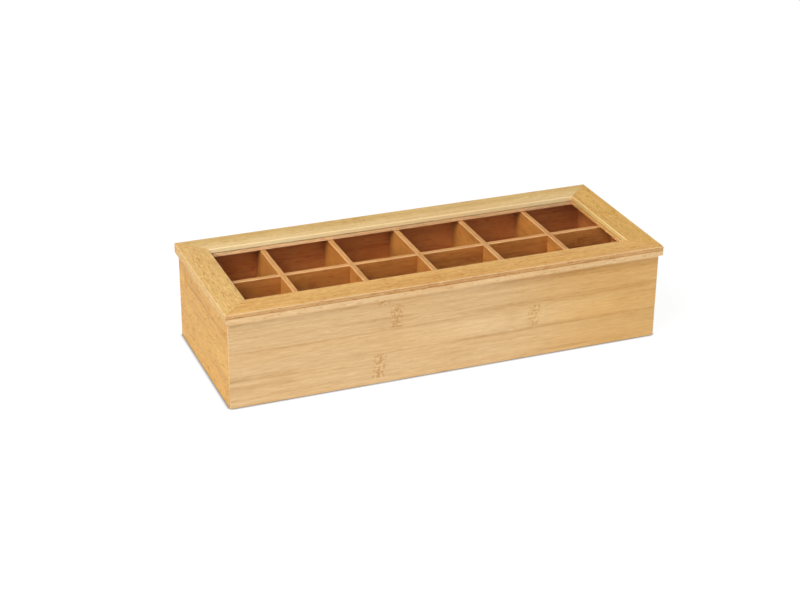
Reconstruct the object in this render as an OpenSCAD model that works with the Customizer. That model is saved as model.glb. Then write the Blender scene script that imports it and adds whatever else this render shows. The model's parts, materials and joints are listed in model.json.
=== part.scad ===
// Tea bag box of bamboo boards: a mitred case, a grid of half-lapped dividers
// and a hinged lid, which is a mitred frame round a clear window pane.
// X runs along the length, Y from the front to the back, and Z up.
// The origin is on the table, under the middle of the closed lid.

/* [Case] */
// Outer length of the case, without the lid
case_l = 405; // [340:1:500]
// Outer depth of the case, without the lid
case_d = 153; // [130:1:220]
// Height of the case, without the lid
case_h = 81; // [60:1:120]
// Thickness of the four wall boards
wall_t = 9; // [8:0.5:13]
// Radius of the upright corners of the case
corner_r = 1; // [0.4:0.1:2]
// Radius of the long edges of the wall boards
wall_edge_r = 0.5; // [0.2:0.1:1]
// Thickness of the bottom board
bottom_t = 5; // [3:0.5:8]
// Width of the rebate in the walls that holds the bottom board
rebate_w = 4; // [2:0.5:6]

/* [Dividers] */
// Number of compartments along the length
columns = 6; // [4:1:8]
// How much longer the compartments at the two ends are than the others
end_cell_extra = 2; // [0:0.5:10]
// Thickness of the dividers
divider_t = 5; // [3:0.5:7]
// Depth of the grooves in the walls that hold the divider ends
groove_depth = 3; // [1.5:0.5:5]
// How far the tops of the dividers lie below the rim of the case
divider_drop = 0.5; // [0.3:0.1:6]
// Radius of the long edges of the dividers
divider_edge_r = 0.6; // [0.2:0.1:1.2]

/* [Lid frame] */
// Thickness of the lid frame
lid_t = 9; // [8:0.5:14]
// Width of the four boards of the lid frame
frame_w = 25; // [20:0.5:34]
// Overhang of the lid at the left and right ends
end_overhang = 2.5; // [1:0.5:6]
// Overhang of the lid at the front and at the back
long_overhang = 3.5; // [3:0.5:6]
// Radius of the top edges of the lid frame
lid_top_r = 1; // [0.4:0.1:2]
// Radius of the bottom edges of the lid frame
lid_bottom_r = 0.5; // [0.2:0.1:1]
// Angle that the lid opens to, where its back edge meets the back wall
open_angle = 100; // [95:1:110]

/* [Window pane] */
// Thickness of the clear pane
pane_t = 1; // [0.8:0.1:3]
// How far each edge of the pane runs into its groove
pane_lap = 5; // [3:0.5:8]
// Thickness of the wood above the pane groove
pane_lip = 4.2; // [2.5:0.1:5]

/* [Hinges] */
// Length of a hinge
hinge_l = 25; // [18:1:36]
// Number of knuckles in the barrel of a hinge
knuckles = 5; // [3:2:7]
// Diameter of the hinge pin
pin_d = 1.8; // [1.2:0.1:2.2]
// Thickness of a hinge leaf
leaf_t = 1; // [0.6:0.1:1.4]
// Wood left between a hinge leaf and the inside of the back wall
leaf_margin = 1.5; // [0.5:0.5:2.5]
// Distance from the middle of a hinge to its screws
screw_offset = 8; // [5:0.5:8.5]
// Diameter of the shank of a hinge screw
screw_d = 2; // [1.5:0.1:2.4]
// Diameter of the head of a hinge screw
screw_head_d = 3.8; // [3:0.1:4]
// Wood left between the tip of a lid screw and the top of the lid
screw_cover = 2; // [1:0.5:3]

/* [Hidden] */
// Clearance on each side of a glued joint
fit = 0.1;
// Clearance above the pane in its groove
pane_gap = 0.4;
// Room for the wood to move at each edge of the pane
pane_edge_gap = 0.5;
// Radial clearance of the hinge pin in its knuckles
pin_gap = 0.05;
// Clearance between neighbouring knuckles
knuckle_gap = 0.2;
// Clearance round the hinge barrel in its notches
barrel_gap = 0.4;
// Gap between the two closed leaves of a hinge
leaf_gap = 0.3;
// Gap left at the back wall when the lid is fully open
stop_gap = 0.06;
// How far a pin end stands out of the barrel
pin_end = 0.3;
// Chamfer of the pin ends
pin_chamfer = 0.3;
// Length of the pointed tip of a screw
screw_tip_h = 1.5;
// Clearance round a screw in its hole
screw_gap = 0.05;
// Width, length and depth of the slots in a screw's cross recess
recess_w = 0.5;
recess_l = 2.2;
recess_h = 0.5;
// How far a cutting shape runs past the face that it cuts
over = 1;
// Straight facets in each rounded edge of a board
edge_steps = 4;

lid_l = case_l + 2 * end_overhang;
lid_d = case_d + 2 * long_overhang;
inner_l = case_l - 2 * wall_t;
inner_d = case_d - 2 * wall_t;

cell_l = (inner_l - (columns - 1) * divider_t - 2 * end_cell_extra) / columns;
cell_pitch = cell_l + divider_t;
divider_h = case_h - bottom_t - divider_drop;
tongue = groove_depth - fit;

pane_bottom = lid_t - pane_lip - pane_gap - pane_t;

// The pin stands just far enough behind the wall for the lid's back edge
// to meet the wall when the lid has turned by open_angle.
lean = open_angle - 90;
back_reach = (long_overhang - lid_bottom_r) * sin(lean) + lid_bottom_r * (1 - cos(lean));
axis_out = (back_reach + stop_gap) / (1 + sin(lean));
axis_y = case_d / 2 + axis_out;
hinge_x = inner_l / 2 - (cell_l + end_cell_extra) / 2;

pin_r = pin_d / 2;
bore_r = pin_r + pin_gap;
barrel_r = pin_r + leaf_t;
notch_r = barrel_r + barrel_gap;
knuckle_l = (hinge_l - (knuckles - 1) * knuckle_gap) / knuckles;
leaf_reach = wall_t + axis_out - leaf_margin;
screw_y = -(leaf_reach + notch_r) / 2;
screw_l = lid_t - leaf_gap / 2 - screw_cover;

CROSS_DIVIDERS = [for (i = [1 : columns - 1]) str("cross_divider_", i)];

case_color = [0.86, 0.69, 0.46];
lid_color = [0.84, 0.66, 0.41];
divider_color = [0.80, 0.60, 0.36];
bottom_color = [0.74, 0.54, 0.32];
pane_color = [0.86, 0.93, 0.95, 0.35];
steel_color = [0.74, 0.73, 0.71];

// Middle of a cross divider, counted from the left
function divider_x(i) = (i - columns / 2) * cell_pitch;

// Points of an arc about a centre
function arc(centre, r, from, to) = [
    for (i = [0 : edge_steps])
        let (a = from + (to - from) * i / edge_steps)
            centre + r * [cos(a), sin(a)]
];

// Outline of a board's section, with rounded lower and upper corners
function board_outline(w, h, r_low, r_top) = concat(
    arc([r_low, r_low], r_low, 180, 270),
    arc([w - r_low, r_low], r_low, 270, 360),
    arc([w - r_top, h - r_top], r_top, 0, 90),
    arc([r_top, h - r_top], r_top, 90, 180)
);

// Board along X, with its outer face on the XZ plane
module board(length, w, h, r_low, r_top) {
    translate([-length / 2, 0, 0])
        rotate([90, 0, 90])
            linear_extrude(length)
                polygon(board_outline(w, h, r_low, r_top));
}

// Space of a mitred board of a frame: a trapezoid seen from above
module mitre_space(length, w, h) {
    linear_extrude(h)
        polygon([[-length / 2, 0], [length / 2, 0], [length / 2 - w, w], [-length / 2 + w, w]]);
}

// Upright block with rounded corners, round the origin
module rounded_block(l, d, h, r) {
    translate([-l / 2, -d / 2, 0])
        linear_extrude(h)
            polygon(board_outline(l, d, r, r));
}

// Wall board of the case: mitred ends, a rebate for the bottom board,
// and grooves for divider ends at the given places along it
module wall_board(length, groove_places) {
    difference() {
        intersection() {
            board(length, wall_t, case_h, wall_edge_r, wall_edge_r);
            mitre_space(length, wall_t, case_h);
        }
        translate([-length / 2, wall_t - rebate_w, -over])
            cube([length, rebate_w + over, bottom_t + over]);
        for (x = groove_places)
            translate([x - divider_t / 2 - fit, wall_t - groove_depth, bottom_t])
                cube([divider_t + 2 * fit, groove_depth + over, case_h]);
    }
}

module case_corners() {
    rounded_block(case_l, case_d, case_h, corner_r);
}

module front_wall() {
    color(case_color)
        intersection() {
            translate([0, -case_d / 2, 0])
                wall_board(case_l, [for (i = [1 : columns - 1]) divider_x(i)]);
            case_corners();
        }
}

module back_wall() {
    color(case_color)
        difference() {
            intersection() {
                translate([0, case_d / 2, 0])
                    rotate([0, 0, 180])
                        wall_board(case_l, [for (i = [1 : columns - 1]) divider_x(i)]);
                case_corners();
            }
            at_hinges()
                mirror([0, 0, 1])
                    hinge_mortise();
        }
}

module left_wall() {
    color(case_color)
        intersection() {
            translate([-case_l / 2, 0, 0])
                rotate([0, 0, -90])
                    wall_board(case_d, [0]);
            case_corners();
        }
}

module right_wall() {
    color(case_color)
        intersection() {
            translate([case_l / 2, 0, 0])
                rotate([0, 0, 90])
                    wall_board(case_d, [0]);
            case_corners();
        }
}

module bottom_board() {
    length = inner_l + 2 * (rebate_w - fit);
    depth = inner_d + 2 * (rebate_w - fit);
    color(bottom_color)
        translate([-length / 2, -depth / 2, 0])
            cube([length, depth, bottom_t]);
}

// Divider board along X, standing on the bottom board
module divider_board(length) {
    translate([0, -divider_t / 2, bottom_t])
        board(length, divider_t, divider_h, divider_edge_r, divider_edge_r);
}

// The long divider is slotted from above, and the cross dividers drop over it
module long_divider() {
    color(divider_color)
        difference() {
            divider_board(inner_l + 2 * tongue);
            for (i = [1 : columns - 1])
                translate([divider_x(i) - divider_t / 2 - fit, -divider_t, bottom_t + divider_h / 2])
                    cube([divider_t + 2 * fit, 2 * divider_t, divider_h]);
        }
}

module cross_divider(i) {
    color(divider_color)
        translate([divider_x(i), 0, 0])
            difference() {
                rotate([0, 0, 90])
                    divider_board(inner_d + 2 * tongue);
                translate([-divider_t, -divider_t / 2 - fit, bottom_t - over])
                    cube([2 * divider_t, divider_t + 2 * fit, divider_h / 2 + over + fit]);
            }
}

// Board of the lid frame: mitred ends, rounded edges and a groove for the pane
module frame_board(length) {
    groove_h = pane_t + pane_gap;
    groove_w = pane_lap + pane_edge_gap;
    difference() {
        intersection() {
            board(length, frame_w, lid_t, lid_bottom_r, lid_top_r);
            mitre_space(length, frame_w, lid_t);
        }
        translate([-length / 2, frame_w - groove_w, pane_bottom])
            cube([length, groove_w + over, groove_h]);
    }
}

module lid_corners() {
    rounded_block(lid_l, lid_d, lid_t, corner_r);
}

module lid_front_rail() {
    color(lid_color)
        translate([0, 0, case_h])
            intersection() {
                translate([0, -lid_d / 2, 0])
                    frame_board(lid_l);
                lid_corners();
            }
}

module lid_back_rail() {
    color(lid_color)
        difference() {
            translate([0, 0, case_h])
                intersection() {
                    translate([0, lid_d / 2, 0])
                        rotate([0, 0, 180])
                            frame_board(lid_l);
                    lid_corners();
                }
            at_hinges()
                hinge_mortise();
        }
}

module lid_left_stile() {
    color(lid_color)
        translate([0, 0, case_h])
            intersection() {
                translate([-lid_l / 2, 0, 0])
                    rotate([0, 0, -90])
                        frame_board(lid_d);
                lid_corners();
            }
}

module lid_right_stile() {
    color(lid_color)
        translate([0, 0, case_h])
            intersection() {
                translate([lid_l / 2, 0, 0])
                    rotate([0, 0, 90])
                        frame_board(lid_d);
                lid_corners();
            }
}

module window_pane() {
    length = lid_l - 2 * (frame_w - pane_lap);
    depth = lid_d - 2 * (frame_w - pane_lap);
    color(pane_color)
        translate([-length / 2, -depth / 2, case_h + pane_bottom])
            cube([length, depth, pane_t]);
}

// Puts its children at both hinges, round the pin's axis
module at_hinges() {
    for (side = [-1, 1])
        translate([side * hinge_x, axis_y, case_h])
            children();
}

// Puts its children at the two screws of a leaf, head up at the leaf's face
module at_screws() {
    for (side = [-1, 1])
        translate([side * screw_offset, screw_y, leaf_gap / 2])
            mirror([0, 0, 1])
                children();
}

// Countersunk screw, head at the origin and tip down, grown by a clearance
module screw_solid(grow) {
    head_r = screw_head_d / 2 + grow;
    shank_r = screw_d / 2 + grow;
    head_h = head_r - shank_r;
    rotate_extrude($fn = 32)
        polygon([
            [0, 0],
            [head_r, 0],
            [shank_r, -head_h],
            [shank_r, -screw_l + screw_tip_h],
            [grow, -screw_l - grow],
            [0, -screw_l - grow]
        ]);
}

module screw() {
    difference() {
        screw_solid(0);
        for (turn = [0, 90])
            rotate([0, 0, turn])
                translate([-recess_l / 2, -recess_w / 2, -recess_h])
                    cube([recess_l, recess_w, recess_h + over]);
    }
}

// What is cut from the wood above the parting line for one hinge:
// an open notch for the barrel, a recess for the leaf, and the screw holes
module hinge_mortise() {
    length = hinge_l + 2 * (pin_end + fit);
    back = long_overhang - axis_out + over;
    translate([-length / 2, -notch_r, -over])
        cube([length, notch_r + back, notch_r + over]);
    translate([-hinge_l / 2 - fit, -leaf_reach - fit, -over])
        cube([hinge_l + 2 * fit, leaf_reach - notch_r + 2 * fit, leaf_gap / 2 + leaf_t + over]);
    at_screws()
        screw_solid(screw_gap);
}

// Leaf above the parting line, with every second knuckle from the given one
module hinge_leaf(first) {
    arm_end = bore_r + leaf_t / 4;
    difference() {
        union() {
            translate([-hinge_l / 2, -leaf_reach, leaf_gap / 2])
                cube([hinge_l, leaf_reach - notch_r, leaf_t]);
            for (i = [first : 2 : knuckles - 1])
                translate([-hinge_l / 2 + i * (knuckle_l + knuckle_gap), 0, 0]) {
                    rotate([0, 90, 0])
                        cylinder(h = knuckle_l, r = barrel_r, $fn = 48);
                    translate([0, -leaf_reach / 2, leaf_gap / 2])
                        cube([knuckle_l, leaf_reach / 2 - arm_end, leaf_t]);
                }
        }
        translate([-hinge_l / 2 - over, 0, 0])
            rotate([0, 90, 0])
                cylinder(h = hinge_l + 2 * over, r = bore_r, $fn = 48);
        at_screws()
            screw_solid(screw_gap);
    }
}

module case_leaf(side) {
    color(steel_color)
        translate([side * hinge_x, axis_y, case_h])
            mirror([0, 0, 1])
                hinge_leaf(0);
}

module lid_leaf(side) {
    color(steel_color)
        translate([side * hinge_x, axis_y, case_h])
            hinge_leaf(1);
}

module hinge_pin(side) {
    length = hinge_l + 2 * pin_end;
    color(steel_color)
        translate([side * hinge_x - length / 2, axis_y, case_h])
            rotate([0, 90, 0])
                rotate_extrude($fn = 48)
                    polygon([
                        [0, 0],
                        [pin_r - pin_chamfer, 0],
                        [pin_r, pin_chamfer],
                        [pin_r, length - pin_chamfer],
                        [pin_r - pin_chamfer, length],
                        [0, length]
                    ]);
}

module case_hinge_screws() {
    color(steel_color)
        at_hinges()
            mirror([0, 0, 1])
                at_screws()
                    screw();
}

module lid_hinge_screws() {
    color(steel_color)
        at_hinges()
            at_screws()
                screw();
}

front_wall();
back_wall();
left_wall();
right_wall();
bottom_board();
long_divider();
for (i = [1 : columns - 1])
    cross_divider(i);
lid_front_rail();
lid_back_rail();
lid_left_stile();
lid_right_stile();
window_pane();
case_leaf(-1);  // left_hinge_case_leaf
lid_leaf(-1);  // left_hinge_lid_leaf
hinge_pin(-1);  // left_hinge_pin
case_leaf(1);  // right_hinge_case_leaf
lid_leaf(1);  // right_hinge_lid_leaf
hinge_pin(1);  // right_hinge_pin
case_hinge_screws();
lid_hinge_screws();
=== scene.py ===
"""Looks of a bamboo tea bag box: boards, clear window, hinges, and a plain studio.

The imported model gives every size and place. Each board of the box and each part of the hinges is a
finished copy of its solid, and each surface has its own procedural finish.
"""

import json
import logging
import math
from dataclasses import dataclass
from enum import Enum
from typing import Iterable, Mapping, Sequence, Union

import bmesh
import bpy
from mathutils import Matrix, Vector


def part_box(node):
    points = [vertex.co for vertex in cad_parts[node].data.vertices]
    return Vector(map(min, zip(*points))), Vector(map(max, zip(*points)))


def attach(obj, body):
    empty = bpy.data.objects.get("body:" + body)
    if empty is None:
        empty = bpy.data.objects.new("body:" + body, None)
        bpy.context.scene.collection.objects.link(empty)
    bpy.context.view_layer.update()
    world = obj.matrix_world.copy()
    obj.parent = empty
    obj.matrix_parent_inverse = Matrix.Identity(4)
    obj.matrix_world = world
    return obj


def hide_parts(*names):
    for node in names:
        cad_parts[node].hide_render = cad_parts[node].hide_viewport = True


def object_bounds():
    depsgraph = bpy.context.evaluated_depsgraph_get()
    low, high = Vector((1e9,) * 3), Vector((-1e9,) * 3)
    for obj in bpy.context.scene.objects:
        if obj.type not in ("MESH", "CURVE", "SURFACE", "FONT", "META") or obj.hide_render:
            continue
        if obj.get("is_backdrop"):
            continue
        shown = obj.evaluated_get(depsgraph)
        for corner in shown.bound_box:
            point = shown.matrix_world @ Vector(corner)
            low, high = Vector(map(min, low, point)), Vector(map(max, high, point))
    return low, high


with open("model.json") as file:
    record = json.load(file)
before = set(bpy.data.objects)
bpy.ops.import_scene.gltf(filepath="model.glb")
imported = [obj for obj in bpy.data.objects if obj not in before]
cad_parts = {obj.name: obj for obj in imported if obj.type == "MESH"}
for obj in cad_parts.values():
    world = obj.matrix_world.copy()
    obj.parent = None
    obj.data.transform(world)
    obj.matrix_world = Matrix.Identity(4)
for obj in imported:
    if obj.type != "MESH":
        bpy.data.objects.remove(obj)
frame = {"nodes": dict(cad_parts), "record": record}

LOG = logging.getLogger("tea_box")
MM = 0.001
MERGE_GAP = 0.002 * MM
FLAT_ANGLE = math.radians(0.5)
SHARP_ANGLE = math.radians(60)


class Face(Enum):
    """How a board lies: the axes along its grain, across its strips and through its thickness."""

    LONG_WALL = ("x", "z", "y")
    END_WALL = ("y", "z", "x")
    LONG_FLAT = ("x", "y", "z")
    END_FLAT = ("y", "x", "z")


@dataclass(frozen=True)
class Paint:
    """A colour as it is read off a screen, with channels from 0 to 255."""

    red: float
    green: float
    blue: float

    def linear(self) -> tuple[float, float, float, float]:
        """Gives the colour in linear light, with full alpha."""
        channels = [self._decode(c / 255.0) for c in (self.red, self.green, self.blue)]
        return (channels[0], channels[1], channels[2], 1.0)

    @staticmethod
    def _decode(value: float) -> float:
        """Turns one sRGB channel into linear light.

        Args:
            value: The channel, from 0 to 1.

        Returns:
            The same channel in linear light.
        """
        if value <= 0.04045:
            return value / 12.92
        return ((value + 0.055) / 1.055) ** 2.4


def grey(level: float) -> tuple[float, float, float, float]:
    """Gives a grey in linear light, with full alpha."""
    return (level, level, level, 1.0)


WHITE = grey(1.0)
Socket = bpy.types.NodeSocket
Number = Union[float, "Val"]


class Val:
    """A number that a shader works out, with Python's operators."""

    def __init__(self, graph: "Graph", socket: Socket) -> None:
        """Keeps the socket and the graph that it belongs to.

        Args:
            graph: The node tree that new Math nodes go into.
            socket: The output socket that carries the number.
        """
        self.graph = graph
        self.socket = socket

    def _math(self, operation: str, *values: Number) -> "Val":
        """Adds a Math node.

        Args:
            operation: The node's operation.
            values: Its inputs in order.

        Returns:
            The node's result.
        """
        made = self.graph.node("ShaderNodeMath", {"operation": operation}, dict(enumerate(values)))
        return Val(self.graph, made.outputs[0])

    def __add__(self, other: Number) -> "Val":
        """Adds."""
        return self._math("ADD", self, other)

    def __radd__(self, other: Number) -> "Val":
        """Adds to a plain number."""
        return self._math("ADD", other, self)

    def __sub__(self, other: Number) -> "Val":
        """Subtracts."""
        return self._math("SUBTRACT", self, other)

    def __rsub__(self, other: Number) -> "Val":
        """Subtracts from a plain number."""
        return self._math("SUBTRACT", other, self)

    def __mul__(self, other: Number) -> "Val":
        """Multiplies."""
        return self._math("MULTIPLY", self, other)

    def __rmul__(self, other: Number) -> "Val":
        """Multiplies a plain number."""
        return self._math("MULTIPLY", other, self)

    def __truediv__(self, other: Number) -> "Val":
        """Divides."""
        return self._math("DIVIDE", self, other)

    def __rtruediv__(self, other: Number) -> "Val":
        """Divides a plain number."""
        return self._math("DIVIDE", other, self)

    def __neg__(self) -> "Val":
        """Changes the sign."""
        return self._math("MULTIPLY", self, -1.0)

    def __abs__(self) -> "Val":
        """Drops the sign."""
        return self._math("ABSOLUTE", self)

    def floor(self) -> "Val":
        """Rounds down."""
        return self._math("FLOOR", self)

    def fraction(self) -> "Val":
        """Keeps what is left after rounding down."""
        return self._math("FRACT", self)

    def lower(self, other: Number) -> "Val":
        """Keeps the lower of two numbers."""
        return self._math("MINIMUM", self, other)

    def higher(self, other: Number) -> "Val":
        """Keeps the higher of two numbers."""
        return self._math("MAXIMUM", self, other)

    def rise(self, start: float, end: float) -> "Val":
        """Rises smoothly from 0 to 1.

        Args:
            start: Where the result is 0.
            end: Where the result is 1. It may be the lower one.

        Returns:
            A number from 0 to 1.
        """
        made = self.graph.node(
            "ShaderNodeMapRange",
            {"interpolation_type": "SMOOTHSTEP", "clamp": True},
            {"Value": self, "From Min": start, "From Max": end},
        )
        return Val(self.graph, made.outputs["Result"])


Link = Union[float, Sequence[float], Val, Socket]


class Graph:
    """The node tree of one material or world, built by code."""

    def __init__(self, owner: Union[bpy.types.Material, bpy.types.World]) -> None:
        """Empties the owner's tree.

        Args:
            owner: The material or world whose nodes are built.
        """
        owner.use_nodes = True
        self.tree = owner.node_tree
        self.tree.nodes.clear()

    def node(
        self,
        kind: str,
        settings: Mapping[str, object] | None = None,
        inputs: Mapping[Union[str, int], Link] | None = None,
    ) -> bpy.types.Node:
        """Adds one node.

        Args:
            kind: The node's type.
            settings: Its properties, set before its inputs.
            inputs: Values or links for its sockets, by name or number.

        Returns:
            The node.
        """
        made = self.tree.nodes.new(kind)
        for name, value in (settings or {}).items():
            setattr(made, name, value)
        for key, value in (inputs or {}).items():
            self.feed(made.inputs[key], value)
        return made

    def feed(self, socket: Socket, value: Link) -> None:
        """Sets or links one input socket.

        Args:
            socket: The input.
            value: A number, a colour, a Val or another node's output.
        """
        if isinstance(value, Val):
            self.tree.links.new(value.socket, socket)
        elif isinstance(value, Socket):
            self.tree.links.new(value, socket)
        else:
            socket.default_value = value

    def axes(self) -> dict[str, Val]:
        """Splits the object's own coordinates.

        Returns:
            The coordinates in metres, by axis letter.
        """
        place = self.node("ShaderNodeTexCoord").outputs["Object"]
        split = self.node("ShaderNodeSeparateXYZ", {}, {0: place})
        return {axis: Val(self, split.outputs[axis.upper()]) for axis in "xyz"}

    def point(self, x: Number, y: Number, z: Number) -> Socket:
        """Joins three numbers into a point."""
        return self.node("ShaderNodeCombineXYZ", {}, {0: x, 1: y, 2: z}).outputs[0]

    def dice(self, x: Number, y: Number, z: Number) -> tuple[Val, Val, Val]:
        """Gives three random numbers for a cell.

        Args:
            x: The cell's first index.
            y: Its second index.
            z: Its third index.

        Returns:
            Three numbers from 0 to 1.
        """
        settings = {"noise_dimensions": "3D"}
        spots = self.node("ShaderNodeTexWhiteNoise", settings, {"Vector": self.point(x, y, z)})
        split = self.node("ShaderNodeSeparateColor", {}, {0: spots.outputs["Color"]})
        return tuple(Val(self, split.outputs[i]) for i in range(3))

    def blend(self, factor: Number, first: Link, second: Link, mode: str = "MIX") -> Socket:
        """Mixes two colours.

        Args:
            factor: The share of the second colour.
            first: The first colour.
            second: The second colour.
            mode: The way of mixing.

        Returns:
            The mixed colour's socket.
        """
        settings = {"data_type": "RGBA", "blend_type": mode, "clamp_factor": True}
        made = self.node("ShaderNodeMix", settings, {0: factor, 6: first, 7: second})
        return made.outputs[2]

    def bump(self, height: Val, distance: float, strength: float = 1.0) -> Socket:
        """Turns a height into a normal.

        Args:
            height: The height, where 1 is the whole distance.
            distance: The depth of the relief in metres.
            strength: The share of the relief that shows.

        Returns:
            The normal's socket.
        """
        inputs = {"Height": height, "Distance": distance, "Strength": strength}
        return self.node("ShaderNodeBump", {}, inputs).outputs[0]

    def mix(self, share: Link, first: bpy.types.Node, second: bpy.types.Node) -> bpy.types.Node:
        """Mixes two shaders by the share of the second."""
        return self.node("ShaderNodeMixShader", {}, {0: share, 1: first.outputs[0], 2: second.outputs[0]})

    def surface(self, shader: bpy.types.Node, output: str = "ShaderNodeOutputMaterial") -> None:
        """Links a shader to the tree's output."""
        self.node(output, {}, {"Surface": shader.outputs[0]})


STILL = (0.0, 0.0, 0.0)


@dataclass(frozen=True)
class Layer:
    """One layer of noise that is drawn out along the grain.

    Attributes:
        along: How many blotches it has to a metre along the grain.
        across: How many it has to a metre across the grain and through the board.
        roughness: How strong its finer marks are.
        detail: How many times finer marks are added.
        start: The noise at which its marks begin to show.
        end: The noise at which they show in full.
    """

    along: float
    across: float
    roughness: float = 0.5
    detail: float = 2.0
    start: float = 0.5
    end: float = 0.7

    def at(self, g: Graph, point: Socket) -> Val:
        """Adds the layer's noise.

        Args:
            g: The material's graph.
            point: Where it is read, in blotches.

        Returns:
            A number round 0.5.
        """
        settings = {"noise_dimensions": "3D", "normalize": True}
        inputs = {"Vector": point, "Scale": 1.0, "Detail": self.detail, "Roughness": self.roughness}
        return Val(g, g.node("ShaderNodeTexNoise", settings, inputs).outputs[0])

    def read(self, g: Graph, place: Sequence[Val], shift: Sequence[Number] = STILL) -> Val:
        """Reads the layer at a place on a board.

        Args:
            g: The material's graph.
            place: The places along the grain, across it and through the board, in metres.
            shift: How far the noise is moved each way, in blotches.

        Returns:
            A number round 0.5.
        """
        scales = (self.along, self.across, self.across)
        spots = [spot * scale for spot, scale in zip(place, scales)]
        moved = [spot if move == 0.0 else spot + move for spot, move in zip(spots, shift)]
        return self.at(g, g.point(*moved))

    def wave(self, g: Graph, place: Sequence[Val], shift: Sequence[Number] = STILL) -> Val:
        """Gives the noise as a wave round 0."""
        return self.read(g, place, shift) - 0.5

    def marks(self, g: Graph, place: Sequence[Val], shift: Sequence[Number] = STILL) -> Val:
        """Gives separate marks of strength 1, with 0 between them."""
        return self.read(g, place, shift).rise(self.start, self.end)


@dataclass(frozen=True)
class Knuckle:
    """A node of the bamboo culm that crosses one strip.

    Attributes:
        along: Its place along the grain, in metres.
        across: The middle of its strip, in metres.
        reach: Half its height across the grain, in metres.
        depth: How strongly it shows.
    """

    along: float
    across: float
    reach: float
    depth: float = 1.0


@dataclass(frozen=True)
class Band:
    """A bundle of fibres that is darker or paler than the rest of its board.

    Attributes:
        start: Where it begins along the grain, in metres.
        end: Where it ends.
        across: The middle of the bundle, in metres.
        width: Its width, in metres.
        depth: How much darker it is. A negative depth makes it paler.
    """

    start: float
    end: float
    across: float
    width: float
    depth: float

    def shade(self, u: Val, v: Val) -> Val:
        """Gives the shade that the band adds.

        Args:
            u: The place along the grain.
            v: The place across it.

        Returns:
            A number that is 0 outside the band.
        """
        length = self.end - self.start
        along = abs(u - (self.start + self.end) / 2).rise(length * 0.56, length * 0.36)
        return abs(v - self.across).rise(self.width * 0.75, self.width * 0.20) * along * self.depth


@dataclass(frozen=True)
class Tone:
    """The two colours that a board's fibres vary between.

    Attributes:
        pale: The colour of its light fibres.
        deep: The colour of its dark fibres.
    """

    pale: Paint
    deep: Paint

    def blend(self, g: Graph, shade: Val) -> Socket:
        """Mixes the two colours by a shade from 0 to 1."""
        return g.blend(shade, self.pale.linear(), self.deep.linear())


@dataclass(frozen=True)
class Ramp:
    """A soft border across one axis.

    Attributes:
        axis: The letter of the axis.
        outside: Where the border begins, in metres.
        inside: Where it is complete, in metres.
    """

    axis: str
    outside: float
    inside: float


@dataclass(frozen=True)
class Patch:
    """A part of a board with a tone of its own.

    Attributes:
        tone: Its tone.
        ramps: Its borders. It lies inside all of them.
    """

    tone: Tone
    ramps: tuple[Ramp, ...]

    def mask(self, axes: Mapping[str, Val]) -> Val:
        """Works out where the patch lies.

        Args:
            axes: The object's coordinates by letter.

        Returns:
            The share of the patch's tone.
        """
        cover: Number = 1.0
        for ramp in self.ramps:
            cover = axes[ramp.axis].rise(ramp.outside, ramp.inside) * cover
        return cover


# Layers of the wood, from the softest to the finest
BEND = Layer(5.0, 14.0, detail=1.0)
WARM_CLOUDS = Layer(9.0, 30.0, detail=1.0, start=0.35, end=0.75)
CLOUDS = Layer(11.0, 42.0)
BROAD_FIBRES = Layer(5.5, 150.0, 0.55, start=0.50, end=0.74)
FIBRES = Layer(19.0, 380.0, 0.6)
FINE_FIBRES = Layer(75.0, 1100.0, 0.65)
DARK_DASHES = Layer(150.0, 620.0, 0.6, start=0.55, end=0.70)
PALE_DASHES = Layer(130.0, 560.0, 0.6, start=0.56, end=0.72)
SPECKS = Layer(360.0, 430.0, 0.7, start=0.42, end=0.60)
RAGGED_EDGE = Layer(60.0, 420.0)

# Fixed numbers that keep one random draw apart from another
DICE_SLOT = 3.5
SLIDE_RANGE = 9.0
PALE_DASH_LIFT = 9.0


@dataclass(frozen=True)
class KnotShape:
    """The outline of a culm node: half lengths in metres, from where it begins to full strength."""

    foot: float
    full: float
    core_foot: float
    core_full: float
    strength: float
    core_strength: float

    def show(self, away: Val, rim: Val, depth: float) -> tuple[Val, Val]:
        """Lays the culm node on the wood.

        Args:
            away: The distance from its middle along the grain, in metres.
            rim: Its reach across the grain, from 0 outside it to 1.
            depth: How strongly this one shows beside the others.

        Returns:
            A soft patch over the culm node, and the thin line in its middle.
        """
        patch = rim * away.rise(self.foot, self.full) * (self.strength * depth)
        core = rim * away.rise(self.core_foot, self.core_full) * (self.core_strength * depth)
        return patch, core


RANDOM_KNOT = KnotShape(6.8 * MM, 4.6 * MM, 1.9 * MM, 0.4 * MM, 0.8, 0.5)
PLACED_KNOT = KnotShape(6.6 * MM, 4.8 * MM, 1.8 * MM, 0.3 * MM, 1.0, 0.6)


@dataclass(frozen=True)
class Marks:
    """Strengths of the marks in the shade of the wood, where 0 is its pale colour and 1 its deep one."""

    ground: float = 0.44
    broad: float = 0.30
    middle: float = 0.62
    fine: float = 0.85
    pale_dash: float = 0.7
    seam: float = 0.16
    knot_speck: float = 0.66
    knot_pale: float = 0.14
    knot_core: float = 0.22
    mitre: float = 0.55


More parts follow.
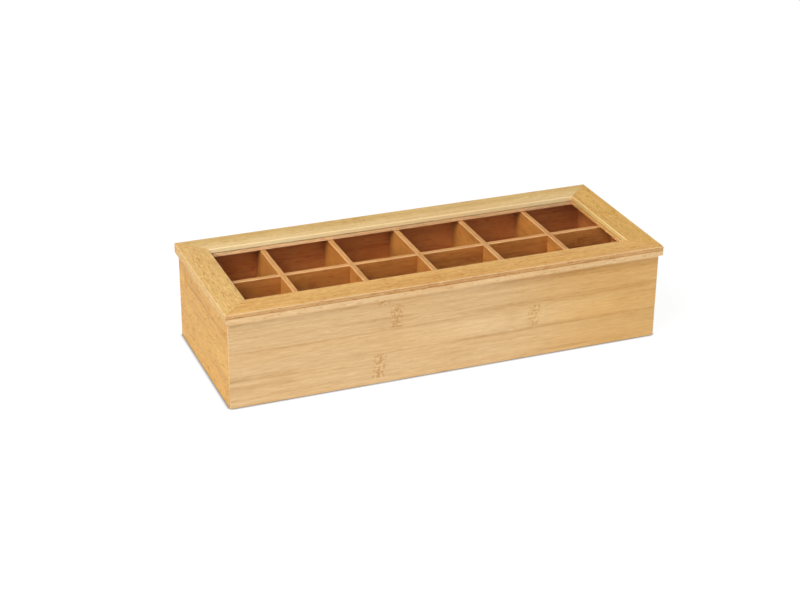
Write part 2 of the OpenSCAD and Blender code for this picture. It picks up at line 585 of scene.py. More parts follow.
@dataclass(frozen=True)
class Lacquer:
    """A thin satin lacquer, with the relief of the fibres under it."""

    # Warm cast in places, and the painted highlight colour of rounded edges
    warm: Paint = Paint(252, 236, 204)
    warm_strip: float = 0.10
    warm_cloud: float = 0.30
    warm_knot: float = 0.12
    edge: Paint = Paint(250, 226, 186)
    edge_highlight_share: float = 0.35

    # Index of refraction, mirroring and upper coat
    bend: float = 1.46
    shine: float = 0.22
    coat: float = 0.04
    coat_roughness: float = 0.30

    # Roughness of plain wood, and what each mark adds to it
    roughness: float = 0.44
    rough_fibre: float = 0.16
    rough_knot: float = 0.08
    rough_dash: float = 0.15
    rough_edge: float = 0.08

    # Relief: its depth in metres, the share that shows, and each mark's height or depth in it
    relief: float = 0.10 * MM
    relief_share: float = 0.5
    relief_fibre: float = 0.5
    relief_dash: float = 0.5
    relief_seam: float = 1.5
    relief_knot: float = 0.7


@dataclass(frozen=True)
class Bamboo:
    """Laminated bamboo under a thin satin lacquer.

    Attributes:
        name: The material's name.
        face: How the board lies.
        tone: The colours of its fibres.
        seed: A number that makes this board's strips its own.
        strip: The width of its strips, in metres.
        strip_start: Where one strip begins, in metres.
        seam: Half the width of the seam between strips, in metres.
        wander: How far the fibres wander from the straight, in metres.
        unevenness: How far the strips differ in tone.
        mottle: How strongly large soft clouds show.
        speckle: How strongly short dark and pale dashes show.
        knuckle_gap: The distance between the culm nodes of one strip, in metres.
        knuckles: Culm nodes at chosen places, which stand for the random ones.
        bands: Darker and paler bundles of fibres at chosen places.
        patches: The parts of the board with tones of their own.
        corner: Half the frame's length along the grain and across it, where the ends are mitred.
        marks: The strengths of its marks.
        lacquer: Its lacquer.
    """

    name: str
    face: Face
    tone: Tone
    seed: float
    strip: float = 22.5 * MM
    strip_start: float = 5.8 * MM
    seam: float = 0.528 * MM
    wander: float = 1.2 * MM
    unevenness: float = 0.16
    mottle: float = 0.7
    speckle: float = 0.5
    knuckle_gap: float = 260 * MM
    knuckles: tuple[Knuckle, ...] = ()
    bands: tuple[Band, ...] = ()
    patches: tuple[Patch, ...] = ()
    corner: tuple[float, float] | None = None
    marks: Marks = Marks()
    lacquer: Lacquer = Lacquer()

    def build(self) -> bpy.types.Material:
        """Builds the material.

        Returns:
            The finished material.
        """
        material = bpy.data.materials.new(self.name)
        g = Graph(material)
        axes = g.axes()
        u, v, w = (axes[letter] for letter in self.face.value)
        marks = self.marks
        lacquer = self.lacquer

        straight = (u, v, w)
        v_bent = v + BEND.wave(g, straight, (0.0, self.seed, 0.0)) * self.wander
        bent = (u, v_bent, w)
        strips = (v - self.strip_start) / self.strip
        row = strips.floor()
        inside = strips.fraction()
        tone_dice, shift_dice, hue_dice = g.dice(row + 0.5, self.seed, DICE_SLOT)
        slide = shift_dice * SLIDE_RANGE + self.seed
        slid = (slide, 0.0, 0.0)

        middle = FIBRES.wave(g, bent, slid)
        fine = FINE_FIBRES.wave(g, bent, slid)
        knot, knot_core = self._knots(g, u, v, inside, shift_dice, hue_dice)
        speck = SPECKS.marks(g, straight, (0.0, 0.0, self.seed))

        tone = (
            (tone_dice - 0.5) * self.unevenness
            + CLOUDS.wave(g, straight, slid) * self.mottle
            + BROAD_FIBRES.marks(g, bent, slid) * marks.broad
            + middle * marks.middle
            + fine * marks.fine
            + marks.ground
        )
        dash = DARK_DASHES.marks(g, bent, slid) * self.speckle
        pale_strength = marks.pale_dash * self.speckle
        pale_dash = PALE_DASHES.marks(g, bent, (-slide, 0.0, PALE_DASH_LIFT)) * pale_strength
        seam = abs(inside - 0.5).rise(0.5 - self.seam / self.strip, 0.5) * marks.seam
        knot_shade = knot * (speck * marks.knot_speck - marks.knot_pale)
        shade = tone + dash - pale_dash + seam + knot_shade + knot_core * marks.knot_core
        for band in self.bands:
            shade = shade + band.shade(u, v_bent)
        if self.corner:
            shade = shade + self._mitre(u, v) * marks.mitre
        shade = shade.higher(0.0).lower(1.0)

        colour = self.tone.blend(g, shade)
        for patch in self.patches:
            colour = g.blend(patch.mask(axes), colour, patch.tone.blend(g, shade))
        warm_cloud = WARM_CLOUDS.marks(g, straight, (0.0, slide, 0.0)) * lacquer.warm_cloud
        warmth = hue_dice * lacquer.warm_strip + warm_cloud + knot * lacquer.warm_knot
        colour = g.blend(warmth, colour, lacquer.warm.linear(), "MULTIPLY")
        # Painted highlight: rounded edges blend towards a paler colour
        rounding = self._rounding(g)
        colour = g.blend(rounding * lacquer.edge_highlight_share, colour, lacquer.edge.linear())

        roughness = (
            lacquer.roughness
            + fine * lacquer.rough_fibre
            + knot * lacquer.rough_knot
            + dash * lacquer.rough_dash
            + rounding * lacquer.rough_edge
        )
        relief = (
            fine * lacquer.relief_fibre
            + middle * lacquer.relief_fibre
            - dash * lacquer.relief_dash
            - seam * lacquer.relief_seam
            + knot * (speck - 0.5) * lacquer.relief_knot
        )
        shader = g.node(
            "ShaderNodeBsdfPrincipled",
            {},
            {
                "Base Color": colour,
                "Roughness": roughness,
                "IOR": lacquer.bend,
                "Specular IOR Level": lacquer.shine,
                "Coat Weight": lacquer.coat,
                "Coat Roughness": lacquer.coat_roughness,
                "Normal": g.bump(relief, lacquer.relief, lacquer.relief_share),
            },
        )
        g.surface(shader)
        return material

    def _knots(
        self, g: Graph, u: Val, v: Val, inside: Val, shift: Val, dice: Val
    ) -> tuple[Val, Val]:
        """Marks the culm nodes.

        Args:
            g: The material's graph.
            u: The place along the grain.
            v: The place across the strips.
            inside: The place within a strip, from 0 to 1.
            shift: A random number for each strip.
            dice: Another one.

        Returns:
            A soft patch over each culm node, and the thin line in its middle.
        """
        ragged_depth = 4 * MM
        ragged_place = g.point(u * RAGGED_EDGE.along, v * RAGGED_EDGE.across, self.seed)
        ragged = (RAGGED_EDGE.at(g, ragged_place) - 0.5) * ragged_depth
        if not self.knuckles:
            turn = u / self.knuckle_gap + shift * 0.9 + dice * 0.7
            away = abs(turn.fraction() - 0.5) * self.knuckle_gap + ragged
            rim = abs(inside - 0.5).rise(0.5, 0.44)
            return RANDOM_KNOT.show(away, rim, 1.0)
        slant = 0.10
        outside = 0.6 * MM
        within = 1.2 * MM
        patch: Number = 0.0
        core: Number = 0.0
        for knuckle in self.knuckles:
            lean = (v - knuckle.across) * slant
            away = abs(u - knuckle.along - lean) + ragged
            rim = abs(v - knuckle.across).rise(knuckle.reach + outside, knuckle.reach - within)
            one_patch, one_core = PLACED_KNOT.show(away, rim, knuckle.depth)
            patch = one_patch + patch
            core = one_core + core
        return patch, core

    def _mitre(self, u: Val, v: Val) -> Val:
        """Darkens the thin glue line of a mitred corner.

        Args:
            u: The place along the grain.
            v: The place across it.

        Returns:
            The strength of the line.
        """
        half_u, half_v = self.corner
        foot = 0.55 * MM
        full = 0.15 * MM
        off = abs((half_u - abs(u)) - (half_v - abs(v)))
        return off.rise(foot, full)

    @staticmethod
    def _rounding(g: Graph) -> Val:
        """Finds the rounded edges, where the surface faces none of the board's own directions.

        Args:
            g: The material's graph.

        Returns:
            A number from 0 on flat faces to 1 on rounded edges.
        """
        flat = 0.985
        turned_away = 0.86
        turned = g.node(
            "ShaderNodeVectorTransform",
            {"vector_type": "NORMAL", "convert_from": "WORLD", "convert_to": "OBJECT"},
            {0: g.node("ShaderNodeNewGeometry").outputs["Normal"]},
        )
        split = g.node("ShaderNodeSeparateXYZ", {}, {0: turned.outputs[0]})
        x, y, z = (abs(Val(g, split.outputs[letter])) for letter in "XYZ")
        return x.higher(y).higher(z).rise(flat, turned_away)


@dataclass(frozen=True)
class ClearAcrylic:
    """A polished clear sheet that bends light and mirrors only a little of it.

    Attributes:
        name: The material's name.
        bend: Its index of refraction.
        mirror: The index that sets how much it mirrors.
        blur: The roughness of what it mirrors.
        tint: The share of each colour that it lets through, with alpha.
    """

    name: str = "clear_acrylic"
    bend: float = 1.49
    mirror: float = 1.03
    blur: float = 0.02
    tint: tuple[float, float, float, float] = (0.99, 0.99, 0.985, 1.0)

    def build(self) -> bpy.types.Material:
        """Builds the material.

        Returns:
            The finished material.
        """
        material = bpy.data.materials.new(self.name)
        g = Graph(material)
        clear = {"Color": self.tint, "Roughness": 0.0, "IOR": self.bend}
        through = g.node("ShaderNodeBsdfRefraction", {}, clear)
        gloss = g.node("ShaderNodeBsdfGlossy", {}, {"Color": WHITE, "Roughness": self.blur})
        share = g.node("ShaderNodeFresnel", {}, {"IOR": self.mirror}).outputs[0]
        open_way = g.node("ShaderNodeBsdfTransparent", {}, {"Color": self.tint})
        shadow = g.node("ShaderNodeLightPath").outputs["Is Shadow Ray"]
        g.surface(g.mix(shadow, g.mix(share, through, gloss), open_way))
        return material


ROLLING_LINES = Layer(260.0, 5200.0, 0.6, 3.0)
STAINS = Layer(420.0, 420.0, 0.6, 3.0, start=0.42, end=0.72)


@dataclass(frozen=True)
class NickelSteel:
    """Nickel-plated steel with fine rolling marks and a little handling wear.

    Attributes:
        name: The material's name.
        pale: The colour of clean plating.
        worn: The colour where it is rubbed or stained.
        roughness: The roughness of clean plating.
    """

    name: str
    pale: Paint = Paint(206, 202, 194)
    worn: Paint = Paint(168, 160, 148)
    roughness: float = 0.26

    def build(self) -> bpy.types.Material:
        """Builds the material.

        Returns:
            The finished material.
        """
        material = bpy.data.materials.new(self.name)
        g = Graph(material)
        stain_wear = 0.7
        line_wear = 0.3
        stain_roughness = 0.10
        line_roughness = 0.22
        line_depth = 0.02 * MM
        line_share = 0.4
        place = tuple(g.axes().values())
        lines = ROLLING_LINES.read(g, place)
        stain = STAINS.read(g, place)
        stained = stain.rise(STAINS.start, STAINS.end)
        wear = stained * stain_wear + (lines - 0.5) * line_wear
        colour = g.blend(wear.higher(0.0).lower(1.0), self.pale.linear(), self.worn.linear())
        line_part = (lines - 0.5) * line_roughness
        shader = g.node(
            "ShaderNodeBsdfPrincipled",
            {},
            {
                "Base Color": colour,
                "Metallic": 1.0,
                "Roughness": self.roughness + line_part + stain * stain_roughness,
                "Normal": g.bump(lines, line_depth, line_share),
            },
        )
        g.surface(shader)
        return material


def add_object(name: str, mesh: bmesh.types.BMesh, material: bpy.types.Material) -> bpy.types.Object:
    """Turns a finished bmesh into an object at the origin.

    Args:
        name: The object's name.
        mesh: The bmesh, which is freed.
        material: Its finish.

    Returns:
        The object.
    """
    data = bpy.data.meshes.new(name)
    mesh.to_mesh(data)
    mesh.free()
    data.materials.append(material)
    made = bpy.data.objects.new(name, data)
    bpy.context.scene.collection.objects.link(made)
    return made


def smooth_edges(mesh: bmesh.types.BMesh, crease: float) -> None:
    """Shades a mesh smooth, apart from its creases.

    Args:
        mesh: The bmesh.
        crease: The angle in degrees past which an edge stays sharp.
    """
    limit = math.radians(crease)
    for face in mesh.faces:
        face.smooth = True
    for edge in mesh.edges:
        edge.smooth = len(edge.link_faces) == 2 and edge.calc_face_angle(0.0) < limit


def weight_normals(piece: bpy.types.Object) -> None:
    """Keeps large flat faces flat beside their rounded edges."""
    modifier = piece.modifiers.new("flat_faces", "WEIGHTED_NORMAL")
    modifier.keep_sharp = True


@dataclass
class Finished:
    """A finished copy of one of the model's solids.

    Attributes:
        node: The solid.
        name: The piece's name.
        body: The body that it rides on.
        slot: The record's material slot. It is not used.
        material: Its finish.
        arris: The width of the small bevel on its long sharp edges, in metres.
        shortest: The shortest edge that gets that bevel, in metres.
        crease: The angle in degrees past which an edge stays sharp.
    """

    node: str
    name: str
    body: str
    slot: str
    material: bpy.types.Material
    arris: float = 0.12 * MM
    shortest: float = 2.5 * MM
    crease: float = 50.0

    def build(self) -> bpy.types.Object:
        """Copies the solid, merges its triangles, eases its edges and dresses it.

        Returns:
            The piece.
        """
        mesh = bmesh.new()
        mesh.from_mesh(frame["nodes"][self.node].data)
        bmesh.ops.remove_doubles(mesh, verts=mesh.verts, dist=MERGE_GAP)
        bmesh.ops.dissolve_limit(
            mesh,
            angle_limit=FLAT_ANGLE,
            verts=mesh.verts,
            edges=mesh.edges,
            use_dissolve_boundaries=False,
        )
        if self.arris:
            self._ease(mesh)
        smooth_edges(mesh, self.crease)
        piece = add_object(self.name, mesh, self.material)
        weight_normals(piece)
        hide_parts(self.node)
        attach(piece, self.body)
        LOG.info("%s stands for %s on %s", self.name, self.node, self.body)
        return piece

    def _ease(self, mesh: bmesh.types.BMesh) -> None:
        """Bevels the long sharp outer edges.

        Args:
            mesh: The bmesh.
        """
        sharp = [
            edge
            for edge in mesh.edges
            if len(edge.link_faces) == 2
            and edge.is_convex
            and edge.calc_face_angle(0.0) > SHARP_ANGLE
            and edge.calc_length() > self.shortest
        ]
        bmesh.ops.bevel(
            mesh,
            geom=sharp,
            offset=self.arris,
            offset_type="OFFSET",
            affect="EDGES",
            segments=2,
            profile=0.5,
            material=-1,
            clamp_overlap=False,
        )


@dataclass
class Case:
    """The four mitred walls and the bottom board.

    Attributes:
        front: The tone of the front wall.
        front_end: The deeper tone of its right end.
        front_rim_painted_light: Painted light: a paler tone along its upper edge, which lifts the shadow
            under the lid's overhang.
        side: The tone of the end walls and the back.
        inside: Painted shade inside the compartments: a darker, redder tone for the walls' inner faces and
            the bottom's top face.
    """

    front: Tone = Tone(Paint(232, 201, 153), Paint(192, 151, 101))
    front_end: Tone = Tone(Paint(228, 187, 125), Paint(192, 145, 81))
    front_rim_painted_light: Tone = Tone(Paint(255, 228, 177), Paint(217, 177, 123))
    side: Tone = Tone(Paint(231, 179, 83), Paint(195, 138, 53))
    inside: Tone = Tone(Paint(206, 128, 64), Paint(165, 90, 39))

    def build(self) -> None:
        """Builds the walls and the bottom."""
        for finish, node in self._finishes():
            Finished(node, node + "_board", "case", self._slot(node), finish.build()).build()

    @staticmethod
    def _slot(node: str) -> str:
        """Gives the material slot of a board."""
        return "bottom_bamboo" if node == "bottom_board" else "case_bamboo"

    def _inner_painted_shade(self, node: str, axis: str) -> Patch:
        """Lays the painted shade of the compartments on a wall's inner face.

        Args:
            node: The wall.
            axis: The axis through its thickness.

        Returns:
            The patch.
        """
        low, high = (getattr(corner, axis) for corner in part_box(node))
        inner, outer = sorted((low, high), key=abs)
        step = math.copysign(0.2 * MM, outer)
        return Patch(self.inside, (Ramp(axis, inner + 2.0 * step, inner + step),))

    def _finishes(self) -> Iterable[tuple[Bamboo, str]]:
        """Picks the boards' finishes.

        Yields:
            Each board's finish and its node.
        """
        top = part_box("front_wall")[1].z
        front = Bamboo(
            "bamboo_front",
            Face.LONG_WALL,
            self.front,
            seed=2.0,
            unevenness=0.08,
            mottle=0.26,
            speckle=0.14,
            knuckles=(
                Knuckle(-51.1 * MM, 62.0 * MM, 11.0 * MM),
                Knuckle(-67.4 * MM, 16.8 * MM, 11.5 * MM),
                Knuckle(79.4 * MM, 41.0 * MM, 10.5 * MM, 0.9),
                Knuckle(-63.0 * MM, 77.0 * MM, 3.0 * MM, 0.7),
            ),
            bands=(
                Band(20 * MM, 260 * MM, 75.0 * MM, 6.0 * MM, 0.20),
                Band(10 * MM, 260 * MM, 54.0 * MM, 4.5 * MM, 0.24),
                Band(-20 * MM, 260 * MM, 28.3 * MM, 3.0 * MM, 0.26),
                Band(-200 * MM, 40 * MM, 50.3 * MM, 1.8 * MM, 0.24),
                Band(-215 * MM, -140 * MM, 26.0 * MM, 5.0 * MM, 0.26),
                Band(-215 * MM, -140 * MM, 17.5 * MM, 4.5 * MM, 0.24),
                Band(60 * MM, 165 * MM, 40.0 * MM, 17.0 * MM, -0.20),
                Band(-45 * MM, 60 * MM, 39.0 * MM, 14.0 * MM, -0.12),
            ),
            patches=(
                Patch(self.front_end, (Ramp("x", 20 * MM, 170 * MM),)),
                # Painted light: a paler band where the lid's overhang shades the wall; painted shade on the
                # inner face
                Patch(self.front_rim_painted_light, (Ramp("z", top - 3.6 * MM, top - 1.4 * MM),)),
                self._inner_painted_shade("front_wall", "y"),
            ),
        )
        left = Bamboo(
            "bamboo_left",
            Face.END_WALL,
            self.side,
            seed=8.0,
            speckle=0.9,
            knuckles=(Knuckle(55 * MM, 63 * MM, 7.0 * MM, 0.7),),
            bands=(
                Band(-85 * MM, 50 * MM, 64.5 * MM, 4.0 * MM, 0.34),
                Band(0 * MM, 80 * MM, 69.0 * MM, 9.0 * MM, 0.22),
                Band(-60 * MM, 30 * MM, 45.0 * MM, 3.0 * MM, 0.20),
            ),
            # Painted shade on the inner face
            patches=(self._inner_painted_shade("left_wall", "x"),),
        )
        yield front, "front_wall"
        yield left, "left_wall"
        back = Bamboo(
            "bamboo_back",
            Face.LONG_WALL,
            self.side,
            seed=5.0,
            knuckles=(
                Knuckle(-118 * MM, 17.0 * MM, 11.0 * MM),
                Knuckle(36 * MM, 39.5 * MM, 11.0 * MM, 0.9),
                Knuckle(152 * MM, 17.0 * MM, 11.0 * MM, 0.8),
            ),
            # Painted shade on the inner face
            patches=(self._inner_painted_shade("back_wall", "y"),),
        )
        yield back, "back_wall"
        # Painted shade on the right wall's inner face
        right_inner_shade = (self._inner_painted_shade("right_wall", "x"),)
        right = Bamboo("bamboo_right", Face.END_WALL, self.side, seed=11.0, patches=right_inner_shade)
        yield right, "right_wall"
        # Painted shade on the bottom's top face, inside the compartments
        bottom_painted_shade = (Patch(self.inside, (Ramp("z", 4.5 * MM, 4.8 * MM),)),)
        bottom = Bamboo("bamboo_bottom", Face.LONG_FLAT, self.side, seed=14.0, patches=bottom_painted_shade)
        yield bottom, "bottom_board"


@dataclass
class DividerGrid:
    """The long divider and the cross dividers that are halved over it.

    Attributes:
        rim: The tone of the top edges, paler than the faces where light falls on them from above, and still
            darkened as painted shade of the compartments.
        faces: Painted shade: a darker tone for the long divider's faces, which lie in the compartments'
            shade.
        cross_faces: Painted shade on the cross dividers' faces, paler than on the long divider as these face
            the light from the left.
    """

    rim: Tone = Tone(Paint(203, 152, 93), Paint(177, 123, 65))
    faces: Tone = Tone(Paint(192, 124, 58), Paint(152, 88, 34))
    cross_faces: Tone = Tone(Paint(201, 136, 64), Paint(163, 99, 39))

    def build(self) -> None:
        """Builds the dividers."""
        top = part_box("long_divider")[1].z
        # Painted shade of the compartments on all dividers; their top edges get a paler tone where light
        # falls from above
        rim = Patch(self.rim, (Ramp("z", top - 0.7 * MM, top - 0.3 * MM),))
        crosses = sorted(n for n in frame["nodes"] if n.startswith("cross_divider_"))
        first_seed = 20.0
        seed_step = 3.0
        rows = [("long_divider", Face.LONG_WALL, self.faces)]
        rows += [(node, Face.END_WALL, self.cross_faces) for node in crosses]
        for number, (node, face, tone) in enumerate(rows):
            seed = first_seed + seed_step * number
            finish = Bamboo(f"bamboo_{node}", face, tone, seed, patches=(rim,))
            Finished(node, node + "_board", "case", "divider_bamboo", finish.build()).build()


@dataclass
class Lid:
    """The mitred frame and its clear window.

    Attributes:
        top: The tone of the front rail.
        back: The tone of the back rail.
        left: The tone of the left stile.
        right: The tone of the right stile.
        pale: The tone of the back rail's inner strip.
        lit: Painted light: a bright tone on the back rail's inner face above the pane, which faces the
            light.
        lit_right: Painted light: a bright tone on the right stile's inner face above the pane.
        under: Painted shade: a darker tone on the back rail's inner face below the pane, in the shade of the
            pane and the frame.
        under_right: Painted shade: a darker tone on the right stile's inner face below the pane.
        upper_ply: The tone of the front edge's upper ply.
        lower_ply: The tone of its lower ply.
        glue: The tone of the glue line between them.
        ply: The thickness of the lower ply.
    """

    top: Tone = Tone(Paint(230, 183, 105), Paint(195, 139, 64))
    back: Tone = Tone(Paint(230, 195, 124), Paint(193, 151, 78))
    left: Tone = Tone(Paint(233, 194, 121), Paint(198, 149, 77))
    right: Tone = Tone(Paint(230, 182, 91), Paint(194, 143, 58))
    pale: Tone = Tone(Paint(241, 212, 154), Paint(213, 174, 110))
    lit: Tone = Tone(Paint(255, 234, 180), Paint(255, 218, 162))
    lit_right: Tone = Tone(Paint(255, 222, 142), Paint(255, 206, 128))
    under: Tone = Tone(Paint(241, 200, 151), Paint(208, 160, 114))
    under_right: Tone = Tone(Paint(238, 184, 112), Paint(204, 145, 80))
    upper_ply: Tone = Tone(Paint(212, 170, 116), Paint(180, 132, 79))
    lower_ply: Tone = Tone(Paint(231, 199, 154), Paint(205, 166, 116))
    glue: Tone = Tone(Paint(193, 150, 99), Paint(164, 116, 66))
    ply: float = 4.7 * MM

    def build(self) -> None:
        """Builds the frame boards and the pane."""
        for finish, node in self._finishes():
            Finished(node, node + "_board", "lid", "lid_bamboo", finish.build()).build()
        pane = Finished("window_pane", "clear_window", "lid", "clear_pane", ClearAcrylic().build())
        pane.arris = 0.15 * MM
        pane.build()

    @staticmethod
    def _inner_faces(node: str, axis: str, upper: Tone, lower: Tone) -> tuple[Patch, ...]:
        """Lays painted light on a board's inner edge above the pane, and painted shade below it.

        Args:
            node: The board.
            axis: The axis across it, along which its low side faces the pane.
            upper: The painted light above the pane.
            lower: The painted shade below it.

        Returns:
            The two patches.
        """
        inner = getattr(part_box(node)[0], axis)
        middle = sum(corner.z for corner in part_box("window_pane")) / 2
        soft = 0.2 * MM
        edge = Ramp(axis, inner + 0.8 * MM, inner + 0.3 * MM)
        return (
            Patch(upper, (edge, Ramp("z", middle - soft, middle + soft))),
            Patch(lower, (edge, Ramp("z", middle + soft, middle - soft))),
        )

    def _front_plies(self) -> tuple[Patch, ...]:
        """Lays the tones of the two plies and their glue line on the front edge.

        Returns:
            The three patches.
        """
        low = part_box("lid_front_rail")[0]
        seam = low.z + self.ply
        soft = 0.2 * MM
        edge = Ramp("y", low.y + 0.9 * MM, low.y + 0.5 * MM)
        line_foot = Ramp("z", seam - 0.1 * MM, seam + 0.2 * MM)
        line_top = Ramp("z", seam + 1.2 * MM, seam + 0.7 * MM)
        return (
            Patch(self.upper_ply, (edge, Ramp("z", seam - soft, seam + soft))),
            Patch(self.lower_ply, (edge, Ramp("z", seam + soft, seam - soft))),
            Patch(self.glue, (edge, line_foot, line_top)),
        )

    def _finishes(self) -> Iterable[tuple[Bamboo, str]]:
        """Picks the frame boards' finishes.

        Yields:
            Each board's finish and its node.
        """
        rail_ends = (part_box("lid_right_stile")[1].x, -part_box("lid_front_rail")[0].y)
        stile_ends = (rail_ends[1], rail_ends[0])
        front = Bamboo(
            "bamboo_lid_front",
            Face.LONG_FLAT,
            self.top,
            seed=31.0,
            speckle=0.8,
            knuckles=(
                Knuckle(-14 * MM, -71 * MM, 6.0 * MM, 0.5),
                Knuckle(179 * MM, -71.6 * MM, 3.0 * MM, 0.7),
                Knuckle(-52 * MM, -60 * MM, 3.0 * MM, 0.6),
            ),
            patches=self._front_plies(),
            corner=rail_ends,
        )
        yield front, "lid_front_rail"
        inner_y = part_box("lid_back_rail")[0].y
        pale_strip = Patch(self.pale, (Ramp("y", inner_y + 16 * MM, inner_y + 5 * MM),))
        # Painted light on the inner face above the pane, painted shade below it
        back_light_and_shade = self._inner_faces("lid_back_rail", "y", self.lit, self.under)
        back = Bamboo(
            "bamboo_lid_back",
            Face.LONG_FLAT,
            self.back,
            seed=34.0,
            speckle=0.6,
            knuckles=(
                Knuckle(-31.5 * MM, 69.5 * MM, 8.5 * MM, 0.6),
                Knuckle(-98 * MM, 66 * MM, 2.5 * MM, 0.5),
            ),
            patches=(pale_strip,) + back_light_and_shade,
            corner=rail_ends,
        )
        yield back, "lid_back_rail"
        left = Bamboo(
            "bamboo_lid_left",
            Face.END_FLAT,
            self.left,
            seed=37.0,
            speckle=1.0,
            corner=stile_ends,
        )
        yield left, "lid_left_stile"
        right = Bamboo(
            "bamboo_lid_right",
            Face.END_FLAT,
            self.right,
            seed=40.0,
            speckle=1.0,
            # Painted light on the inner face above the pane, painted shade below it
            patches=self._inner_faces("lid_right_stile", "x", self.lit_right, self.under_right),
            corner=stile_ends,
        )
        yield right, "lid_right_stile"


@dataclass
class Hinges:
    """The two butt hinges and their screws."""

    def build(self) -> None:
        """Builds the leaves, pins and screws."""
        steel = NickelSteel("nickel_steel").build()
        for node, body in node_bodies().items():
            if "hinge" in node:
                part = Finished(node, node + "_metal", body, "hinge_steel", steel)
                part.arris = 0.0
                part.crease = 35.0
                part.build()


def node_bodies() -> dict[str, str]:
    """Gives the body of each node of the model."""
    bodies = frame["record"]["behaviour"]["bodies"]
    return {node: body for body, nodes in bodies.items() for node in nodes}


@dataclass(frozen=True)
class Lamp:
    """A square lamp that faces the box.

    Attributes:
        name: Its name.
        place: Where it stands, in metres.
        width: The length of its sides, in metres.
        power: Its power, in watts.
    """

    name: str
    place: tuple[float, float, float]
    width: float
    power: float

    def build(self) -> None:
        """Adds the lamp."""
        data = bpy.data.lights.new(self.name, "AREA")
        data.size = self.width
        data.energy = self.power
        place = Vector(self.place)
        lamp = bpy.data.objects.new(self.name, data)
        lamp.location = place
        lamp.rotation_mode = "QUATERNION"
        lamp.rotation_quaternion = (-place).to_track_quat("-Z", "Y")
        bpy.context.scene.collection.objects.link(lamp)


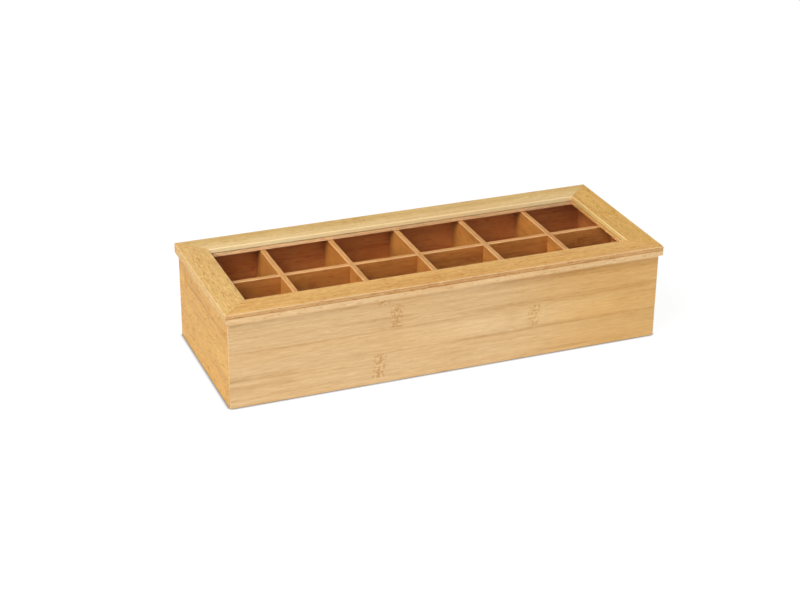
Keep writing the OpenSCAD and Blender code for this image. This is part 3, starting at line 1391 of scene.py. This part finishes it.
@dataclass
class Studio:
    """A white floor, soft lamps and the camera.

    Attributes:
        azimuth: The camera's direction round the box, in degrees.
        elevation: Its height above the horizon, in degrees.
        roll: Its tilt, in degrees.
        distance: Its distance from the box, in metres.
        aim_right: How far its aim lies right of the box's middle, in metres.
        aim_up: How far its aim lies above the box's middle, in metres.
        focal: Its focal length in millimetres, for a sensor 36 mm wide.
        sky: The strength of the even light.
        floor_grey: The floor's grey for the light that it throws on the box.
        shown_grey: The floor's grey where it is seen, which keeps the shadows.
        glow: The light that is added to it there.
        contact: How far the thin shadow round the foot of the box reaches, in metres.
        lamps: The lamps.
    """

    azimuth: float = -21.76
    elevation: float = 25.51
    roll: float = 0.58
    distance: float = 1.648
    aim_right: float = -0.0169
    aim_up: float = -0.0092
    focal: float = 81.61
    sky: float = 0.45
    floor_grey: float = 0.80
    shown_grey: float = 0.13
    glow: float = 0.92
    contact: float = 5.0 * MM
    lamps: tuple[Lamp, ...] = (
        Lamp("key_lamp", (-1.55, -0.85, 1.85), 1.5, 47.0),
        Lamp("front_lamp", (0.5, -2.3, 0.5), 0.9, 12.5),
    )

    def build(self) -> None:
        """Builds the camera, lamps, sky and floor."""
        self._camera()
        for lamp in self.lamps:
            lamp.build()
        self._sky()
        self._floor()
        scene = bpy.context.scene
        scene.view_settings.view_transform = "Standard"

    def _camera(self) -> None:
        """Sets up the camera at the photograph's viewing angle."""
        sensor = 36.0
        near = 0.05
        far = 50.0
        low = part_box("front_wall")[0]
        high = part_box("lid_back_rail")[1]
        middle = Vector((0.0, 0.0, (low.z + high.z) / 2))
        a = math.radians(self.azimuth)
        e = math.radians(self.elevation)
        back = Vector((math.sin(a) * math.cos(e), -math.cos(a) * math.cos(e), math.sin(e)))
        turn = (-back).to_track_quat("-Z", "Y").to_matrix().to_4x4()
        turn = turn @ Matrix.Rotation(math.radians(self.roll), 4, "Z")
        right = turn.col[0].to_3d()
        up = turn.col[1].to_3d()
        data = bpy.data.cameras.new("camera")
        data.lens = self.focal
        data.sensor_width = sensor
        data.clip_start = near
        data.clip_end = far
        camera = bpy.data.objects.new("camera", data)
        place = middle + right * self.aim_right + up * self.aim_up + back * self.distance
        camera.matrix_world = Matrix.Translation(place) @ turn
        bpy.context.scene.collection.objects.link(camera)
        bpy.context.scene.camera = camera

    @staticmethod
    def _seen(g: Graph) -> Val:
        """Tells rays that show a surface from those that light one.

        Args:
            g: The graph of the floor or the world.

        Returns:
            1 for rays from the camera, off a mirror or through glass, unless a matt surface sent
            them on, and 0 for all others.
        """
        path = g.node("ShaderNodeLightPath")
        seen = Val(g, path.outputs["Is Camera Ray"])
        seen = seen.higher(Val(g, path.outputs["Is Glossy Ray"]))
        seen = seen.higher(Val(g, path.outputs["Is Transmission Ray"]))
        return seen * (1.0 - Val(g, path.outputs["Diffuse Depth"]).lower(1.0))

    def _sky(self) -> None:
        """Makes the even light, with a white background."""
        world = bpy.data.worlds.new("studio")
        bpy.context.scene.world = world
        g = Graph(world)
        light = g.node("ShaderNodeBackground", {}, {"Color": WHITE, "Strength": self.sky})
        shown = g.node("ShaderNodeBackground", {}, {"Color": WHITE, "Strength": 1.0})
        g.surface(g.mix(self._seen(g), light, shown), "ShaderNodeOutputWorld")

    def _floor(self) -> None:
        """Makes the floor, which shows white and keeps the box's shadow."""
        half_width = 6.0
        rays = 16
        full_shadow = 0.35
        no_shadow = 0.92
        mesh = bmesh.new()
        bmesh.ops.create_grid(mesh, x_segments=1, y_segments=1, size=half_width)
        material = bpy.data.materials.new("floor_paint")
        g = Graph(material)
        plain = g.node("ShaderNodeBsdfDiffuse", {}, {"Color": grey(self.floor_grey)})
        shaded = g.node("ShaderNodeBsdfDiffuse", {}, {"Color": grey(self.shown_grey)})
        glow = g.node("ShaderNodeEmission", {}, {"Color": WHITE, "Strength": self.glow})
        bright = g.node("ShaderNodeAddShader", {}, {0: shaded.outputs[0], 1: glow.outputs[0]})
        reach = {"Distance": self.contact}
        around = g.node("ShaderNodeAmbientOcclusion", {"samples": rays}, reach)
        open_share = Val(g, around.outputs["AO"]).rise(full_shadow, no_shadow)
        shown = g.mix(open_share, shaded, bright)
        g.surface(g.mix(self._seen(g), plain, shown))
        add_object("floor", mesh, material)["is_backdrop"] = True


def main() -> None:
    """Builds the studio and every piece of the box, and notes its size."""
    logging.basicConfig(level=logging.INFO, format="%(name)s: %(message)s")
    model_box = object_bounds()
    Studio().build()
    Case().build()
    DividerGrid().build()
    Lid().build()
    Hinges().build()
    shown_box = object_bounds()
    sizes = {"cad": [list(corner) for corner in model_box], "visual": [list(corner) for corner in shown_box]}
    LOG.info("model box %s, shown box %s", sizes["cad"], sizes["visual"])


if __name__ == "__main__":
    main()
